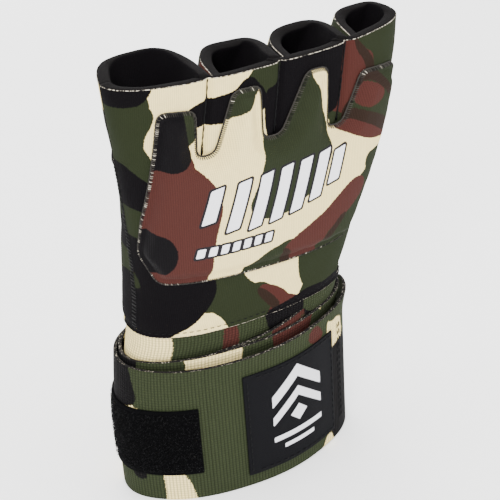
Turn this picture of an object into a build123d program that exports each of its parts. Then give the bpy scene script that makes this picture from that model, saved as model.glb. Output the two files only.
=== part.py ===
from build123d import *

import math
import os

# Fingerless glove wrap for a left hand: a padded neoprene sleeve with four finger loops and a
# thumb hole, on an elastic cuff, closed by a long elastic strap wound round the wrist.
#
# Millimetres. +Z runs from the wrist to the fingers, -Y is the back of the hand, +Y is the palm
# and +X is the thumb side. The origin is the centre of the wrist opening, on the lower edge of
# the wound strap, which is what the glove stands on.

# ---- driving dimensions -----------------------------------------------------------------

NEOPRENE = 3.8           # foam with fabric laminated on both faces
ELASTIC = 1.2            # thickness of the woven elastic
STRAP_WIDTH = 50.0       # two-inch elastic
CUFF_TOP = 61.0          # where the neoprene starts
CUFF_BOTTOM = 9.0
CUFF_A, CUFF_B = 37.9, 18.4      # half width and half depth of the cuff's outer face

LOOP_BASE = 122.0        # the finger loops part from the palm here
RIM = 147.0              # cut ends of the finger loops

# The sleeve's outer face: height, then its left, right, back-of-hand and palm limits.
STATIONS = [
    (CUFF_TOP, -36.3, 41.3, -20.6, 18.0),
    (90.0, -34.8, 50.0, -22.5, 17.0),
    (120.0, -35.2, 58.7, -23.5, 9.0),
    (RIM, -36.6, 65.5, -23.5, 14.0),
]
ROUNDNESS = 2.4          # exponent of the sleeve's oval sections

# The side seams lie on one upright plane, y = SEAM_Y, and the thumb hole is centred on it.
SEAM_Y = -5.0
THUMB_Z = 82.0
THUMB_HALF_DEPTH, THUMB_HALF_HEIGHT = 11.0, 16.5

# Finger loops: name, left, right and palm side at the loop's base, the same at the rim, and how
# far the loop leans towards the thumb per millimetre of depth.
FINGERS = [
    ("little", -36.8, -16.4, 5.0, -38.2, -9.5, 13.0, 0.12),
    ("ring", -16.0, 7.7, 9.0, -9.1, 14.9, 3.2, 0.20),
    ("middle", 8.3, 28.2, 8.8, 15.5, 37.3, 2.4, 0.20),
    ("index", 28.8, 56.8, 5.0, 37.9, 63.4, 2.0, 0.20),
]
LOOP_FRONT = -20.0       # the loops are widest where they meet the back panel
LOOP_ROUNDNESS = 3.0

# Padding on the back of the hand, outline as (x, z) corners, rounded by PAD_CORNER.
PAD_OUTLINE = [
    (-29.8, 81.6), (-33.8, 92.0), (-33.0, 104.0),
    (-27.0, 139.6), (-15.4, 138.6), (-16.6, 124.0), (-10.4, 123.8),
    (-2.4, 141.6), (6.4, 141.4), (6.0, 124.4), (12.4, 124.2),
    (22.6, 141.8), (29.9, 141.4), (28.7, 121.6), (34.8, 121.2),
    (43.2, 135.8), (58.9, 133.4), (50.6, 101.0), (42.2, 81.4),
]
PAD_CORNER = 2.2
PAD_FABRIC = 1.2         # thickness of the cover at its sewn edge
PAD_HEIGHT = 4.2         # cover over the gel, above the back panel
PAD_BORDER = 2.4         # flat sewn border round the gel
GEL_HEIGHT = 3.0
THREAD = 0.5             # how far stitching stands proud
STITCH_WIDTH = 1.6

# The strap, measured backwards from its free tip: degrees round the wrist from the thumb side,
# and the gap between the cuff and the strap's inner face there.
STRAP_COURSE = [(0.0, 5.2), (110.0, 4.8), (360.0, 1.8), (470.0, 1.4), (830.0, 0.1)]
TAB_HINGE = 43.0
END_HINGE = 110.0
STRAP_START = 830.0
STRAP_STEP = 6.0         # degrees between the points of the strap's outline
HINGE_GAP = 0.3          # degrees left open at each fold line
BOND = 0.06              # glue or thread between two sewn layers of the strap

TAPE_FROM, TAPE_TO = 121.0, 455.0
TAPE_Z, TAPE_WIDTH, TAPE = 12.0, 25.0, 1.0
HOOK_FROM, HOOK_TO = 48.0, 95.0
HOOK_Z, HOOK_WIDTH, HOOK = 12.0, 25.0, 0.8
LABEL_FROM, LABEL_TO = 46.5, 100.0
LABEL_Z, LABEL_HEIGHT, LABEL = 4.5, 39.0, 0.6
LABEL_FACE = ELASTIC + LABEL + 2 * BOND

FAR = 200.0              # larger than the glove, for cutting blocks


# ---- shapes -----------------------------------------------------------------------------

def oval(left, right, front, back, power, z, lean=0.0, lean_from=0.0, count=20):
    """Flat closed face of a superellipse between four limits, leaning with depth."""
    centre_x, half_x = (left + right) / 2, (right - left) / 2
    centre_y, half_y = (front + back) / 2, (back - front) / 2
    points = []
    for i in range(count):
        angle = 2 * math.pi * (i + 0.5) / count
        c, s = math.cos(angle), math.sin(angle)
        x = centre_x + half_x * math.copysign(abs(c) ** (2 / power), c)
        y = centre_y + half_y * math.copysign(abs(s) ** (2 / power), s)
        points.append((x + lean * (y - lean_from), y, z))
    return make_face(Spline(*points, periodic=True))


def sleeve_form(grow):
    """Solid inside the sleeve's outer face, grown by a constant distance."""
    sections = []
    for z, left, right, front, back in STATIONS:
        limits = (left - grow, right + grow, front - grow, back + grow)
        sections.append(oval(*limits, ROUNDNESS, z))
    return loft(sections)


def seam_block(towards_palm, thickness=FAR):
    """Block with one face on the seam plane, on the palm side of it or the other."""
    shift = thickness / 2 if towards_palm else -thickness / 2
    return Pos(0, SEAM_Y + shift, 0) * Box(2 * FAR, thickness, 4 * FAR)


def slab(z_low, z_high):
    """Flat block that holds everything between two heights."""
    return Pos(0, 0, (z_low + z_high) / 2) * Box(2 * FAR, 2 * FAR, z_high - z_low)


def front_prism(face):
    """A face drawn in (x, z), run through the back of the hand."""
    return extrude(Plane.XZ.offset(-SEAM_Y) * face, amount=FAR)


def strap_gap(turn):
    """Gap between the cuff and the strap's inner face, at a turn angle from the tip."""
    for (low, gap_low), (high, gap_high) in zip(STRAP_COURSE, STRAP_COURSE[1:]):
        if turn <= high:
            return gap_low + (gap_high - gap_low) * (turn - low) / (high - low)
    return STRAP_COURSE[-1][1]


def strap_point(turn, outward, z=0.0):
    """Point at a turn angle from the tip, outward from the strap's inner face."""
    angle = math.radians(-turn)
    gap = strap_gap(turn) + outward
    return ((CUFF_A + gap) * math.cos(angle), (CUFF_B + gap) * math.sin(angle), z)


def strip(turn_from, turn_to, outward, thickness, z, width):
    """Upright strip that follows the strap's course between two turn angles."""
    count = max(3, math.ceil((turn_to - turn_from) / STRAP_STEP))
    turns = [turn_from + (turn_to - turn_from) * i / count for i in range(count + 1)]
    inner = Spline(*[strap_point(t, outward, z) for t in turns])
    outer = Spline(*[strap_point(t, outward + thickness, z) for t in turns])
    ends = [Line(inner @ k, outer @ k) for k in (0, 1)]
    return extrude(make_face([inner, outer, *ends]), amount=width, dir=(0, 0, 1))


# ---- sleeve -----------------------------------------------------------------------------

def thumb_cutter():
    opening = Ellipse(THUMB_HALF_DEPTH, THUMB_HALF_HEIGHT)
    return extrude(Plane((20, SEAM_Y, THUMB_Z), (0, 1, 0), (1, 0, 0)) * opening, amount=FAR)


def back_panel(form, lining):
    shell = form - lining
    return shell & seam_block(False) - thumb_cutter()


def palm_panel(form, lining):
    shell = form - lining
    return (shell & seam_block(True)) & slab(CUFF_TOP, LOOP_BASE) - thumb_cutter()


def loop_solid(finger, inset):
    base, rim, lean = finger[1:4], finger[4:7], finger[7]
    faces = []
    for z, (left, right, back) in ((LOOP_BASE, base), (RIM, rim)):
        depth = back - inset - LOOP_FRONT
        limits = (left + inset, right - inset, LOOP_FRONT - depth, back - inset)
        faces.append(oval(*limits, LOOP_ROUNDNESS, z, lean, LOOP_FRONT))
    return loft(faces)


def finger_loop(finger, lining):
    ring = loop_solid(finger, 0) - loop_solid(finger, NEOPRENE)
    ring -= seam_block(False) - lining
    centre = (finger[4] + finger[5]) / 2
    outer_side = {"little": -1, "index": 1}.get(finger[0])
    if outer_side:
        corner = Pos(centre + outer_side * FAR / 2, 0, 0) * Box(FAR, 2 * FAR, 4 * FAR)
        ring -= corner & seam_block(False)
    return max(ring.solids(), key=lambda solid: solid.volume)


# ---- padding ----------------------------------------------------------------------------

def pad_face(inset=0.0):
    outline = FilletPolyline(*PAD_OUTLINE, radius=PAD_CORNER, close=True)
    face = make_face(outline)
    return offset(face, amount=-inset) if inset else face


def gel_insert(form):
    return (sleeve_form(GEL_HEIGHT) - form) & front_prism(pad_face(PAD_BORDER + PAD_FABRIC))


def pad_cover(form, gel):
    border = (sleeve_form(PAD_FABRIC) - form) & front_prism(pad_face())
    dome = (sleeve_form(PAD_HEIGHT) - form) & front_prism(pad_face(PAD_BORDER))
    return border + dome - gel


def pad_edge_stitching():
    band = pad_face() - pad_face(STITCH_WIDTH)
    return (sleeve_form(PAD_FABRIC + THREAD) - sleeve_form(PAD_FABRIC)) & front_prism(band)


# ---- seams of the sleeve ----------------------------------------------------------------

def divider_seam(thread_skin, left_finger):
    """Row of stitching between two finger loops, from the rim down towards the knuckles."""
    base_x, rim_x = left_finger[2], left_finger[5]
    low, high = (base_x + 3.0, LOOP_BASE + 5), (rim_x, RIM - 0.5)
    half = STITCH_WIDTH / 2
    corners = [(low[0] - half, low[1]), (low[0] + half, low[1])]
    corners += [(high[0] + half, high[1]), (high[0] - half, high[1])]
    return thread_skin & front_prism(make_face(Polyline(*corners, close=True)))


def side_seam(thread_skin, side, low, high):
    """Row of stitching over a side seam, side -1 for the little finger and 1 for the thumb."""
    half = Pos(side * FAR / 2, 0, 0) * Box(FAR, 2 * FAR, 4 * FAR)
    band = seam_block(False, STITCH_WIDTH / 2) + seam_block(True, STITCH_WIDTH / 2)
    return thread_skin & band & half & slab(low, high)


def cuff_seam(thread_skin):
    return thread_skin & slab(CUFF_TOP, CUFF_TOP + STITCH_WIDTH)


# ---- cuff and strap ---------------------------------------------------------------------

def cuff_band():
    ring = Ellipse(CUFF_A, CUFF_B) - Ellipse(CUFF_A - ELASTIC, CUFF_B - ELASTIC)
    return extrude(Pos(0, 0, CUFF_BOTTOM) * ring, amount=CUFF_TOP - CUFF_BOTTOM)


def anchor_stitches():
    """Upright seam that sews the strap's start through the cuff, seen inside the cuff."""
    inside = -ELASTIC - THREAD - 5 * BOND
    return strip(STRAP_START - 9, STRAP_START - 3, inside, THREAD, CUFF_BOTTOM + 3, 34)


def edge_rows(turn_from, turn_to, outward, z, height, inset=1.2):
    """Stitching round a sewn-on piece: two level rows and two upright ones."""
    rows = [
        strip(turn_from + 1, turn_to - 1, outward, THREAD / 2, level, STITCH_WIDTH / 2)
        for level in (z + inset, z + height - inset - STITCH_WIDTH / 2)
    ]
    for start in (turn_from + 1, turn_to - 2):
        rows.append(strip(start, start + 1, outward, THREAD / 2, z + inset, height - 2 * inset))
    solid = rows[0]
    for row in rows[1:]:
        solid = solid + row
    return solid


# ---- build ------------------------------------------------------------------------------

def build():
    form, lining = sleeve_form(0), sleeve_form(-NEOPRENE)
    thread_skin = sleeve_form(THREAD) - form
    gel = gel_insert(form)
    nodes = {
        "back_panel": back_panel(form, lining),
        "palm_panel": palm_panel(form, lining),
        "gel_insert": gel,
        "pad_cover": pad_cover(form, gel),
        "pad_edge_stitching": pad_edge_stitching(),
        "side_seam_little_finger": side_seam(thread_skin, -1, CUFF_TOP + 2, LOOP_BASE - 2),
        "side_seam_thumb": side_seam(thread_skin, 1, THUMB_Z + THUMB_HALF_HEIGHT + 2, LOOP_BASE - 2),
        "cuff_seam": cuff_seam(thread_skin),
        "cuff_band": cuff_band(),
        "strap_anchor_stitches": anchor_stitches(),
        "strap_wound": strip(END_HINGE + HINGE_GAP, STRAP_START, 0, ELASTIC, 0, STRAP_WIDTH),
        "strap_end": strip(TAB_HINGE + HINGE_GAP, END_HINGE, 0, ELASTIC, 0, STRAP_WIDTH),
        "pull_tab": strip(0, TAB_HINGE, 0, ELASTIC, 0, STRAP_WIDTH),
        "loop_tape": strip(TAPE_FROM, TAPE_TO, ELASTIC + BOND, TAPE, TAPE_Z, TAPE_WIDTH),
        "hook_tape": strip(HOOK_FROM, HOOK_TO, -HOOK - BOND, HOOK, HOOK_Z, HOOK_WIDTH),
        "label_patch": strip(LABEL_FROM, LABEL_TO, ELASTIC + BOND, LABEL, LABEL_Z, LABEL_HEIGHT),
        "label_stitching": edge_rows(LABEL_FROM, LABEL_TO, LABEL_FACE, LABEL_Z, LABEL_HEIGHT),
        "pull_tab_hem_stitching": strip(4, 5.5, ELASTIC + BOND, THREAD, 3, STRAP_WIDTH - 6),
    }
    for finger in FINGERS:
        nodes[f"finger_loop_{finger[0]}"] = finger_loop(finger, lining)
    for left, right in zip(FINGERS, FINGERS[1:]):
        nodes[f"divider_seam_{left[0]}_{right[0]}"] = divider_seam(thread_skin, left)
    return nodes


if __name__ == "__main__":
    os.makedirs("parts", exist_ok=True)
    for name, shape in build().items():
        export_step(shape, f"parts/{name}.step")
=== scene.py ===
import math

import bpy
import numpy as np
from mathutils import Matrix, Vector


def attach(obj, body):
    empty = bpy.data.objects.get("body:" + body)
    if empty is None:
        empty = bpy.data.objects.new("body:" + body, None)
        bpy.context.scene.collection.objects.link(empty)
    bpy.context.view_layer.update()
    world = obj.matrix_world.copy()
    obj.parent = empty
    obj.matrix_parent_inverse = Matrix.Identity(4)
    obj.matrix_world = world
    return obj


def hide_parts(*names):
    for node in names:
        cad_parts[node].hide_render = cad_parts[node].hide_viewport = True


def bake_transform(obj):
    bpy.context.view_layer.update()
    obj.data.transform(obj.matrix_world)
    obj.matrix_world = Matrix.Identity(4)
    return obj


# Millimetres up to make_piece(), which converts to metres. The frame is the CAD model's:
# +Z to the fingers, -Y the back of the hand, +X the thumb side.

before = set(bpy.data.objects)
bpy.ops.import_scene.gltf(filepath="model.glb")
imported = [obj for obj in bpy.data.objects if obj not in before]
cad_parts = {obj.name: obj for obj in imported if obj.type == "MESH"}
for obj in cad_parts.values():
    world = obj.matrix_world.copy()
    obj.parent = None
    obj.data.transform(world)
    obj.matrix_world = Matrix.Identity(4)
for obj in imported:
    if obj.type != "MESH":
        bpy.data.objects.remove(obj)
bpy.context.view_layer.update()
rng = np.random.default_rng(11)

MM = 0.001
NEOPRENE, ELASTIC, STRAP_WIDTH = 3.8, 1.2, 50.0
CUFF_TOP, CUFF_BOTTOM, LOOP_BASE, RIM = 61.0, 9.0, 122.0, 147.0
CUFF_A, CUFF_B = 37.9, 18.4
SEAM_Y = -5.0
THUMB_Z, THUMB_DEPTH, THUMB_HEIGHT = 80.4, 11.0, 18.2
ROUNDNESS, LOOP_ROUNDNESS, LOOP_FRONT = 2.4, 3.0, -20.0
# The sleeve's outer face: height, then its left, right, back-of-hand and palm limits.
STATIONS = np.array([
    (CUFF_TOP, -35.2, 41.3, -20.6, 18.0),
    (90.0, -33.4, 50.0, -22.5, 17.0),
    (120.0, -35.0, 58.7, -23.5, 9.0),
    (RIM, -36.6, 65.5, -23.5, 14.0),
])
# Each finger loop's left, right and palm limits at its base and at its rim, and its lean.
FINGERS = {
    "little": ((-36.8, -15.2, 5.0), (-38.2, -7.4, 13.0), 0.12),
    "ring": ((-14.6, 9.2, 9.0), (-7.2, 16.2, 3.2), 0.20),
    "middle": ((9.6, 30.2, 8.8), (16.8, 40.2, 2.8), 0.20),
    "index": ((31.2, 56.8, 5.0), (41.4, 64.6, 5.0), 0.20),
}
PAD_OUTLINE = [
    (-28.4, 81.2), (-32.2, 91.6), (-31.4, 104.0),
    (-25.4, 139.0), (-14.6, 138.2), (-15.6, 123.4), (-9.8, 123.4),
    (-2.4, 141.6), (6.4, 141.4), (6.0, 124.4), (12.4, 124.2),
    (22.6, 141.8), (29.9, 141.4), (28.7, 121.6), (34.8, 121.2),
    (43.2, 135.8), (58.9, 133.4), (53.4, 114.0), (46.8, 98.0), (41.6, 87.6), (36.6, 79.4),
]
# The strap's gap to the cuff and the rise of its upper edge, by degrees of winding.
STRAP_COURSE = [(0.0, 4.2), (38.0, 4.95), (110.0, 4.8), (360.0, 1.8), (470.0, 1.4), (830.0, 0.1)]
STRAP_RISE = [
    (0, 3.4), (45, 2.2), (75, 1.6), (100, 0.6), (130, 0.1), (180, 0.1), (250, 1.2), (330, 3.5), (360, 4.4),
    (435, 4.6), (480, 2.6), (540, 1.6), (640, 5.0), (720, 10.5), (780, 8.0), (810, 4.5), (830, 2.5),
]
# Places on the strap, in degrees of winding back from its free tip, and heights up it.
STRAP_START, MID_STRAP = 830.0, 25.0
FOLD_FROM, FOLD_TO, TAB_FROM, TAB_TO = 117.0, 103.0, 46.0, 40.0
TAPE_FROM, TAPE_TO, TAPE_LOW, TAPE_WIDTH, TAPE = 121.0, 455.0, 10.6, 25.0, 0.8
HOOK_FROM, HOOK_TO, HOOK_LOW = 48.0, 95.0, 12.0
LABEL_FROM, LABEL_TO, LABEL_LOW, LABEL_HEIGHT = 46.5, 100.0, 4.5, 39.0
# How far each print is shifted across and up from the drawing's own place.
BODY_SHIFT, PAD_SHIFT = (-1.3, 1.5), (1.0, -1.1)
FAR_AWAY = 40.0          # a print's field where it has no patch
SLIVER = 2.4             # ground narrower than this between two patches closes up
# Stitches: the length and pitch of running ones, the pitch of overlocking, the threads' radii. The dividers' cord is
# thick because it is also painted crease shadow.
RUN_LENGTH, RUN_PITCH, OVERLOCK_PITCH = 2.0, 2.7, 0.62
FINE_THREAD, SEAM_THREAD, LOOP_THREAD, STRAP_THREAD, DIVIDER_CORD_AND_SHADOW = 0.13, 0.14, 0.20, 0.19, 0.26
RUN_RISE = (-0.12, 0.1, 0.14, 0.1, -0.12)

# ---- camouflage ----
# Each print is drawn as closed outlines for green, brown, umber and black over a cream ground,
# in (across, up) millimetres. They become distance fields, so their edges stay sharp.

BODY_PRINT = {
    "green": [
        [(-52, 143), (-33, 142.5), (-29.5, 144), (-27.5, 141), (-28, 138), (-30.5, 134), (-31.5, 130), (-29, 126),
         (-30, 118), (-34, 120), (-37, 126), (-52, 127)],
        [(-52, 113), (-36, 110), (-29, 106.5), (-29, 98), (-33, 97.5), (-36, 99), (-52, 102)],
        [(-52, 87), (-37, 85.5), (-33.5, 81.5), (-32.5, 78.5), (-36, 80), (-52, 82)],
        [(-15, 84), (-5, 85), (-4.2, 81.6), (-1.9, 77.8), (1.4, 75.4), (3, 73), (5, 70), (8, 66.5), (7, 62),
         (-1, 61.5), (-6, 58), (-9.5, 61), (-12, 67), (-16, 70.5), (-14, 76)],
        [(16.2, 84), (22, 88), (34, 88), (44, 96), (70, 98), (74, 64), (40, 60), (19, 61), (18.2, 67.5), (16, 73),
         (15.6, 78)],
        [(4, 146), (5, 143), (8, 141), (11.5, 141.5), (13, 144.5), (14, 151), (3, 151)],
        [(29, 129), (28.5, 119), (38, 119), (37, 127), (34.5, 129)],
        [(40, 152), (41, 146), (43, 142), (43, 136), (40, 128), (70, 128), (76, 152)],
        [(52, 120), (62, 122), (66, 108), (56, 100), (51, 106)],
    ],
    "brown": [
        [(-52, 91), (-38, 89), (-35, 84.5), (-52, 87)],
        [(1.4, 75.6), (6, 74), (10.2, 70.6), (12.8, 66.6), (13, 62), (8, 62), (5.4, 66.6), (3.2, 69), (0.8, 72.4)],
        [(37, 152), (41, 148), (44, 144), (47.6, 141.5), (47.6, 138), (46, 136.5), (44, 131), (40, 126.5), (36, 125),
         (32, 126), (34, 133), (35, 139), (36, 144)],
        [(46, 112), (54, 116), (60, 110), (55, 104), (48, 106)],
    ],
    "umber": [
        [(39.5, 150), (42.5, 146), (46.5, 141.5), (48.5, 137), (46.5, 132), (44, 128), (41, 128), (43.5, 133),
         (44.5, 137),
         (43, 141), (40.5, 144)],
        [(34, 127), (38, 130), (42, 131), (44, 127), (39, 121), (34, 121)],
        [(0.4, 75), (3.2, 73), (6, 70), (8.6, 66), (8, 62), (5.4, 65), (2.8, 68.6), (0.4, 72)],
    ],
    "black": [
        [(-52, 155), (-25, 155), (-26.5, 149), (-29, 145), (-33, 142.6), (-52, 143)],
        [(-52, 127), (-37, 126), (-33.5, 121), (-30, 118), (-26, 112), (-29, 106.5), (-36, 110), (-52, 113)],
        [(-52, 102), (-36, 99), (-31, 97.5), (-28, 93), (-31, 87.5), (-52, 91)],
        [(-52, 81.5), (-37, 80.5), (-33.5, 78.5), (-34, 84), (-36, 90), (-33, 93), (-26, 92),
         (-14, 85), (-13, 79), (-14.5, 74), (-18.5, 69), (-25, 64.5), (-31, 61.5), (-52, 56)],
        [(-19, 140), (-13.3, 142), (-7.3, 142.6), (-3, 143.2), (-1, 145), (1, 146.4), (3.5, 146), (5, 143.5), (7, 141),
         (7, 134), (-5.5, 133.5), (-12.7, 134.3), (-19, 134)],
        [(6, 141), (11, 141.4), (12.8, 144), (14, 153), (37.2, 153), (36, 144), (35, 139), (34.5, 133), (33.5, 129),
         (29, 127), (24, 128), (6, 120)],
        [(2, 62.5), (6, 64.6), (14, 66.2), (20, 67.6), (27, 66.4), (34, 67.6), (44, 64), (30, 56), (4, 56)],
    ],
}
PAD_PRINT = {
    "green": [
        [(-17.4, 144), (-12, 144), (-13, 129), (-16.6, 128.6)],
        [(-9, 132.5), (-5, 140), (-2, 146), (8, 146), (6.9, 140), (4, 136.2), (0, 133.6), (-4, 132.4)],
        [(7, 127), (12, 122), (18, 131), (21, 146), (24, 143), (25.6, 137), (27.6, 130), (29, 123), (29.6, 117),
         (28, 111),
         (24, 105), (18, 101.4), (10, 98), (4, 98.6), (0.5, 101), (-1, 104.5), (2, 110), (5.2, 117), (6.6, 122)],
        [(34, 125), (38, 123), (44, 121.4), (50, 116.4), (56, 113), (70, 120), (70, 144), (42, 144), (37, 131)],
        [(41, 108), (46, 109.4), (60, 112), (60, 99), (47, 94.5), (42, 98.5)],
        [(23.5, 84.6), (30, 88.2), (36, 91.6), (41, 95.6), (56, 98), (56, 72), (23, 72)],
        [(-5, 78), (0, 84), (5, 87.2), (10.5, 88.4), (12.6, 86.4), (12, 80), (11, 72), (-3, 75)],
    ],
    "brown": [
        [(-46, 126), (-31, 124), (-22, 123), (-17, 121), (-12.8, 117.4), (-9.6, 112), (-8.6, 106.4),
         (-10.4, 100), (-12, 93), (-12.6, 87), (-14.6, 76), (-46, 76)],
        [(39.6, 128), (42, 131.6), (47, 131.2), (50.4, 128), (49, 124.8), (44, 123.4), (40.8, 125)],
        [(30.5, 120.5), (36, 123.4), (43, 121.2), (50.4, 115.6), (50.4, 112), (44, 113), (38, 116.2)],
        [(9.5, 85.4), (13, 88.6), (20, 91.8), (26, 94.6), (31, 98.6), (37, 102.4), (41, 101.4), (41.5, 96.5), (36, 92),
         (29, 88.4), (25, 85.4), (23.5, 80), (23.5, 72), (11.5, 72), (10.8, 80)],
    ],
    "umber": [
        [(37.5, 124), (38, 129), (41, 133.4), (46, 134.8), (51, 133), (53.5, 129), (52, 124.5), (50, 128), (48, 130.8),
         (45, 131.8), (42, 130.4), (40.4, 127)],
        [(33, 124.5), (39, 124.4), (44.5, 122.4), (51, 118), (53, 113.4), (50, 113), (45, 117.4), (39, 121),
         (33, 121.5)],
        [(9.6, 86.6), (12.2, 85.6), (13.8, 82), (14, 76), (10.6, 76), (10.4, 82)],
        [(24.6, 84.4), (28, 87.4), (31.4, 91), (34.4, 91.4), (30.4, 87), (25.6, 82)],
    ],
    "black": [
        [(-36, 146), (-17.4, 146), (-17, 128), (-15.8, 123), (-17.4, 121.2), (-22, 120.4), (-27, 120.8),
         (-31, 122), (-40, 124)],
        [(-28.5, 101), (-24, 99.4), (-21.8, 95), (-22, 89.6), (-24.6, 85.8), (-28.5, 84.4), (-33, 85.4), (-36, 89.4),
         (-36.2, 95), (-33.6, 99.4)],
    ],
}
# Along the strap from its free tip, and up.
STRAP_PRINT = {
    "green": [
        [(24, -6), (24, 36), (25.5, 44), (24, 58), (104, 58), (100, 44), (97, 36), (97, 20), (90.6, 14), (83.2, 11.6),
         (79.4, -2), (79, -6)],
        [(90.2, -6), (90.5, 11.6), (92, 14), (98, 12), (108, 14), (112, 4), (112, -6)],
        [(148, 58), (152, 36), (166, 28), (176, 38), (190, 34), (196, 58)],
        [(185, -6), (178, 15), (190, 30), (206, 24), (240, 22), (240, 6), (236, -6)],
        [(-6, 37), (14, 37), (15, 46), (26, 46), (26, 58), (-6, 58)],
        [(204, 20), (234, 20), (234, 58), (204, 58)],
        [(232, 30), (232, 58), (265, 58), (266, 40), (262, 24)],
        [(285, 58), (284, 34), (292, 24), (302, 34), (304, 58)],
        [(310, -6), (306, 12), (322, 30), (318, 46), (336, 58), (385, 58), (392, 34), (380, 12), (384, -6)],
        [(404, -6), (400, 20), (414, 34), (410, 58), (470, 58), (466, 26), (472, -6)],
    ],
    "brown": [
        [(27, 44), (29, 47.5), (32, 50), (35, 48), (35, 44.5), (31, 42.5)],
        [(140, -6), (146, 8), (158, 16), (170, 10), (174, -6)],
        [(236, 58), (238, 44), (246, 38), (254, 44), (256, 58)],
        [(330, 20), (336, 30), (348, 30), (352, 18), (342, 10)],
        [(392, 40), (398, 50), (408, 48), (408, 34), (398, 30)],
        [(394, 58), (396, 44), (403, 40), (409, 45), (410, 58)],
        [(434, 58), (436, 43), (442, 40), (447, 46), (448, 58)],
    ],
    "black": [
        [(-6, 37), (20, 37.4), (24, 36), (25, 20), (24, -6), (-6, -6)],
        [(104, 58), (100, 46), (97, 36), (112, 34), (125, 40), (130, 58)],
        [(96, 9), (98, 12.6), (102.5, 11.5), (101.5, 8), (98, 7.2)],
        [(156, 30), (166, 38), (180, 36), (186, 24), (176, 16), (162, 20)],
        [(246, 4), (256, 18), (272, 20), (284, 8), (280, -6), (248, -6)],
        [(301, 58), (302, 42), (311, 38), (320, 46), (322, 58)],
        [(382, -6), (386, 12), (398, 16), (404, 8), (404, -6)],
        [(409, 58), (410, 43), (419, 36), (431, 39), (435, 58)],
    ],
}
# Round the cuff from the middle of the back of the hand, and up.
CUFF_PRINT = {
    "green": [[(-31.5, 66), (-29, 56), (-31, 40), (-12.5, 40), (-13, 52), (-11.6, 66)],
              [(-11, 66), (-11, 54), (-8, 40), (8, 40), (2, 52), (2.6, 58), (1, 66)],
              [(16, 56), (18, 66), (60, 66), (56, 40), (20, 40)], [(-90, 66), (-70, 66), (-66, 40), (-92, 40)],
              [(74, 66), (92, 66), (92, 40), (70, 40)]],
    "brown": [[(-12.6, 66), (-13.4, 56), (-12, 49), (-6.4, 50), (-8, 58), (-9.2, 66)],
              [(60, 66), (74, 66), (70, 48), (58, 46)]],
    "black": [[(1, 66), (2.4, 57), (6, 51), (14, 50), (17, 56), (17.4, 66)],
              [(-66, 66), (-56, 66), (-52, 40), (-68, 40)]],
}


def rounded(outline):
    """Chaikin's corner cutting of a closed outline."""
    p = np.array(outline, float)
    for _ in range(3):
        q = np.roll(p, -1, 0)
        p = np.stack([0.75 * p + 0.25 * q, 0.25 * p + 0.75 * q], 1).reshape(-1, 2)
    return p


def distance(points, outline):
    """Signed distance to a closed outline, negative inside."""
    a, b = outline, np.roll(outline, -1, 0)
    result = np.empty(len(points))
    for start in range(0, len(points), 4000):
        p = points[start:start + 4000, None, :]
        d = b - a
        t = np.clip(((p - a) * d).sum(-1) / np.maximum((d * d).sum(-1), 1e-12), 0, 1)
        gap = np.sqrt((((a + t[..., None] * d) - p) ** 2).sum(-1)).min(1)
        up = (a[:, 1] <= p[..., 1]) != (b[:, 1] <= p[..., 1])
        slope = np.where(np.abs(d[:, 1]) < 1e-12, 1e-12, d[:, 1])
        cross = a[:, 0] + (p[..., 1] - a[:, 1]) * d[:, 0] / slope
        inside = (up & (p[..., 0] < cross)).sum(1) % 2 == 1
        result[start:start + 4000] = np.where(inside, -gap, gap)
    return result


def nearest(points, outlines):
    """Signed distance to the nearest of some outlines."""
    return np.min([np.full(len(points), FAR_AWAY)] + [distance(points, o) for o in outlines], axis=0)


def print_fields(points, drawing):
    """Signed distance to each colour's patches."""
    fields = {colour: nearest(points, [rounded(o) for o in drawing.get(colour, [])])
              for colour in ("green", "brown", "umber", "black")}
    for colour, near in (("green", np.minimum(fields["brown"], fields["black"])), ("brown", fields["black"])):
        fields[colour] = np.minimum(fields[colour], fields[colour] + near - SLIVER)
    return fields


def random_print(width, height):
    """A drawing of irregular blobs over an area, for the parts of the print that vary freely."""
    drawing = {"green": [], "brown": [], "black": []}
    for colour, spacing, size in (("green", 26, 11.7), ("brown", 34, 8.5), ("black", 32, 8.5)):
        for cx in np.arange(-width / 2, width / 2 + spacing, spacing):
            for cy in np.arange(0, height + spacing, spacing):
                x, y = cx + rng.normal(0, spacing / 4), cy + rng.normal(0, spacing / 4)
                r = size * rng.uniform(0.65, 1.3)
                turn, stretch = rng.uniform(0, math.pi), rng.uniform(1.1, 1.9)
                waves = [(k, rng.uniform(0, 0.34 / k ** 0.5), rng.uniform(0, 6.3)) for k in (2, 3, 4)]
                a = np.linspace(0, 2 * math.pi, 16, endpoint=False)
                rr = r * (1 + sum(s * np.sin(k * a + p) for k, s, p in waves))
                px, py = rr * stretch * np.cos(a), rr / stretch ** 0.5 * np.sin(a)
                drawing[colour].append(columns(x + px * math.cos(turn) - py * math.sin(turn),
                                               y + px * math.sin(turn) + py * math.cos(turn)))
    return drawing


# ---- surfaces ----

def unit(vectors):
    """Vectors made one long."""
    return vectors / np.maximum(np.linalg.norm(vectors, axis=-1, keepdims=True), 1e-12)


def smooth_noise(points, scale, seed):
    """Gentle sum of sines in 3-D, about -1 to 1, for sags and swellings of cloth."""
    r = np.random.default_rng(seed)
    total = np.zeros(points.shape[:-1])
    for _ in range(7):
        direction = unit(r.normal(size=3))
        total += np.sin(points @ direction * (2 * math.pi / (scale * r.uniform(0.7, 1.5))) + r.uniform(0, 6.3))
    return total / 3.0


def ease(t):
    """A smooth step from 0 to 1."""
    t = np.clip(t, 0, 1)
    return t * t * (3 - 2 * t)


def columns(*parts):
    """Arrays side by side as points; a plain number fills its column."""
    return np.stack(np.broadcast_arrays(*parts), -1)


def oval(c, power):
    """A cosine or sine drawn out to a superellipse."""
    return np.sign(c) * np.abs(c) ** (2 / power)


def loft(line_at, heights):
    """A table of points: one (x, y) line at each height."""
    return np.array([columns(*line_at(z).T, z) for z in heights])


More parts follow.
